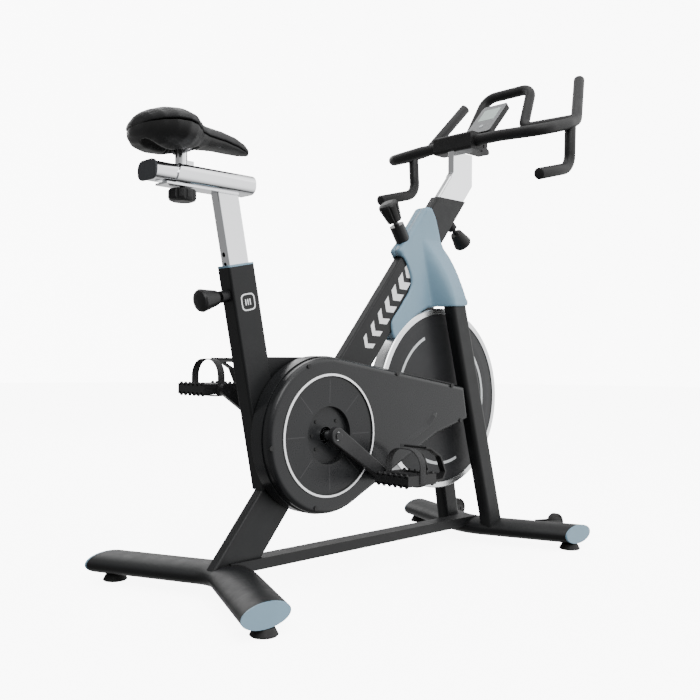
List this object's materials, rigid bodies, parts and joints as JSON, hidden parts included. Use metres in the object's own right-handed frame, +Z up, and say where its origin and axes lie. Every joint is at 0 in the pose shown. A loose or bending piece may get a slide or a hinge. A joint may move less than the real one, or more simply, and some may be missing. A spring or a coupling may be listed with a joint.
{
  "type": "indoor exercise bike",
  "caption": "Indoor cycling bike with a diagonal beam frame, covered belt drive, exposed front flywheel, sliding saddle, looped handlebar and angled floor stabilisers.",
  "frame": {"origin": "on the floor plane under the middle of the bike, halfway between its rearmost and foremost points and on its centre plane", "axes": "+X forward from saddle to handlebar horns, +Y to the rider's left, +Z up"},
  "size_m": [1.1984, 0.544, 1.2021],
  "materials": {
    "frame_paint": "satin charcoal powder coat",
    "pale_plastic": "pale blue-grey moulded plastic",
    "cover_plastic": "semi-gloss black moulding with fine texture",
    "ring_plastic": "silver-white trim ring",
    "dark_steel": "dark zinc plated steel",
    "steel": "bright machined steel",
    "belt_rubber": "ribbed rubber belt",
    "wheel_metal": "turned and polished rim, dark web",
    "wheel_cover": "matte black cover with grey arcs",
    "crank_metal": "satin black forged arm",
    "pulley_alloy": "cast aluminium pulley",
    "pedal_plastic": "textured black nylon",
    "strap": "woven nylon strap",
    "chrome": "polished chrome plate",
    "cap_plastic": "dark grey end plug",
    "saddle_shell": "black moulded saddle shell",
    "saddle_cover": "black synthetic leather, stitched",
    "knob_plastic": "black moulded plastic",
    "grip_coat": "black dipped foam-rubber coating",
    "console_grey": "mid-grey console moulding",
    "lens": "clear display window",
    "button_plastic": "small raised button",
    "foot_rubber": "black rubber"
  },
  "bodies": {
    "frame": {"main_beam": "frame_paint", "seat_column": "frame_paint", "post_sleeves": "pale_plastic", "frame_braces": "frame_paint", "rear_stabilizer": "frame_paint", "front_stabilizer": "frame_paint", "fork_legs": "frame_paint", "fork_brackets": "frame_paint", "end_caps": "pale_plastic", "bottom_bracket": "frame_paint", "bearings": "steel", "cover_outer": "cover_plastic", "cover_inner": "cover_plastic", "cover_disc": "cover_plastic", "cover_ring": "ring_plastic", "cover_screws": "dark_steel", "shroud_right": "pale_plastic", "shroud_left": "pale_plastic", "flywheel_axle": "steel", "axle_nuts": "steel", "brake_guide": "cover_plastic", "drive_belt": "belt_rubber"},
    "flywheel": {"flywheel": "wheel_metal", "flywheel_covers": "wheel_cover", "flywheel_pulley": "steel"},
    "crank": {"crank_axle": "steel", "crank_arms": "crank_metal", "drive_pulley": "pulley_alloy", "crank_fasteners": "steel"},
    "right_pedal": {"pedal_right": "pedal_plastic", "toe_cage_right": "pedal_plastic", "toe_strap_right": "strap"},
    "left_pedal": {"pedal_left": "pedal_plastic", "toe_cage_left": "pedal_plastic", "toe_strap_left": "strap"},
    "seat_mast": {"seat_post": "chrome", "slider_housing": "chrome"},
    "seat_slider": {"slider_tube": "chrome", "slider_caps": "cap_plastic", "saddle_stem": "chrome"},
    "saddle": {"saddle_rails": "dark_steel", "saddle_base": "saddle_shell", "saddle_pad": "saddle_cover"},
    "slider_knob": {"slider_knob": "knob_plastic"},
    "handlebar_mast": {"handlebar_post": "chrome", "handlebar_clamp": "knob_plastic", "handlebar": "grip_coat", "console_body": "console_grey", "console_lens": "lens"},
    "console_button": {"console_button": "button_plastic"},
    "seat_pin": {"seat_pin": "knob_plastic"},
    "handlebar_pin": {"handlebar_pin": "knob_plastic"},
    "brake_rod": {"brake_rod": "dark_steel"},
    "resistance_knob": {"resistance_knob": "knob_plastic"},
    "right_transport_wheel": {"transport_wheel_right": "foot_rubber"},
    "left_transport_wheel": {"transport_wheel_left": "foot_rubber"},
    "rear_right_foot": {"foot_rear_right": "foot_rubber"},
    "rear_left_foot": {"foot_rear_left": "foot_rubber"},
    "front_right_foot": {"foot_front_right": "foot_rubber"},
    "front_left_foot": {"foot_front_left": "foot_rubber"}
  },
  "joints": [
    {"name": "flywheel_spin", "type": "hinge", "parent": "frame", "child": "flywheel", "pos_m": [0.2388, 0, 0.367], "axis": [0, 1, 0], "continuous": true},
    {"name": "crank_spin", "type": "hinge", "parent": "frame", "child": "crank", "pos_m": [-0.1892, 0, 0.3044], "axis": [0, 1, 0], "continuous": true},
    {"name": "right_pedal_spin", "type": "hinge", "parent": "crank", "child": "right_pedal", "pos_m": [-0.04695, -0.1575, 0.21131], "axis": [0, 1, 0], "continuous": true},
    {"name": "left_pedal_spin", "type": "hinge", "parent": "crank", "child": "left_pedal", "pos_m": [-0.33145, 0.1575, 0.39749], "axis": [0, 1, 0], "continuous": true},
    {"name": "seat_height", "type": "slide", "parent": "frame", "child": "seat_mast", "axis": [-0.1994, 0, 0.9799], "range_m": [-0.11, 0.11]},
    {"name": "saddle_slide", "type": "slide", "parent": "seat_mast", "child": "seat_slider", "axis": [1, 0, 0], "range_m": [-0.04, 0.025]},
    {"name": "saddle_tilt", "type": "hinge", "parent": "seat_slider", "child": "saddle", "pos_m": [-0.5062, 0, 0.858], "axis": [0, 1, 0], "range_deg": [-8, 8]},
    {"name": "slider_knob_turn", "type": "hinge", "parent": "seat_mast", "child": "slider_knob", "pos_m": [-0.5032, 0, 0.77], "axis": [0, 0, 1], "range_deg": [-180, 180]},
    {"name": "handlebar_height", "type": "slide", "parent": "frame", "child": "handlebar_mast", "axis": [0.6334, 0, 0.7738], "range_m": [-0.05, 0.05]},
    {"name": "console_button_press", "type": "slide", "parent": "handlebar_mast", "child": "console_button", "axis": [0.7349, 0, -0.6782], "range_m": [0, 0.001], "stiffness_N_per_m": 400},
    {"name": "seat_pin_pull", "type": "slide", "parent": "frame", "child": "seat_pin", "axis": [-0.9799, 0, -0.1994], "range_m": [0, 0.01], "stiffness_N_per_m": 800},
    {"name": "handlebar_pin_pull", "type": "slide", "parent": "frame", "child": "handlebar_pin", "axis": [0.7738, 0, -0.6334], "range_m": [0, 0.01], "stiffness_N_per_m": 800},
    {"name": "brake_push", "type": "slide", "parent": "frame", "child": "brake_rod", "axis": [0.557, 0, -0.8305], "range_m": [0, 0.008], "stiffness_N_per_m": 1500},
    {"name": "resistance_knob_turn", "type": "hinge", "parent": "brake_rod", "child": "resistance_knob", "pos_m": [0.07338, 0, 0.80483], "axis": [-0.557, 0, 0.8305], "range_deg": [-360, 360]},
    {"name": "right_transport_wheel_spin", "type": "hinge", "parent": "frame", "child": "right_transport_wheel", "pos_m": [0.5238, -0.16, 0.041], "axis": [0, 1, 0], "continuous": true},
    {"name": "left_transport_wheel_spin", "type": "hinge", "parent": "frame", "child": "left_transport_wheel", "pos_m": [0.5238, 0.16, 0.041], "axis": [0, 1, 0], "continuous": true},
    {"name": "rear_right_foot_level", "type": "hinge", "parent": "frame", "child": "rear_right_foot", "pos_m": [-0.49819, -0.247, 0.01], "axis": [0, 0, 1], "range_deg": [-180, 180]},
    {"name": "rear_left_foot_level", "type": "hinge", "parent": "frame", "child": "rear_left_foot", "pos_m": [-0.49819, 0.247, 0.01], "axis": [0, 0, 1], "range_deg": [-180, 180]},
    {"name": "front_right_foot_level", "type": "hinge", "parent": "frame", "child": "front_right_foot", "pos_m": [0.45893, -0.243, 0.01], "axis": [0, 0, 1], "range_deg": [-180, 180]},
    {"name": "front_left_foot_level", "type": "hinge", "parent": "frame", "child": "front_left_foot", "pos_m": [0.45893, 0.243, 0.01], "axis": [0, 0, 1], "range_deg": [-180, 180]}
  ],
  "couplings": [
    {"joint": "crank_spin", "follows": "flywheel_spin", "ratio": 0.26667}
  ]
}
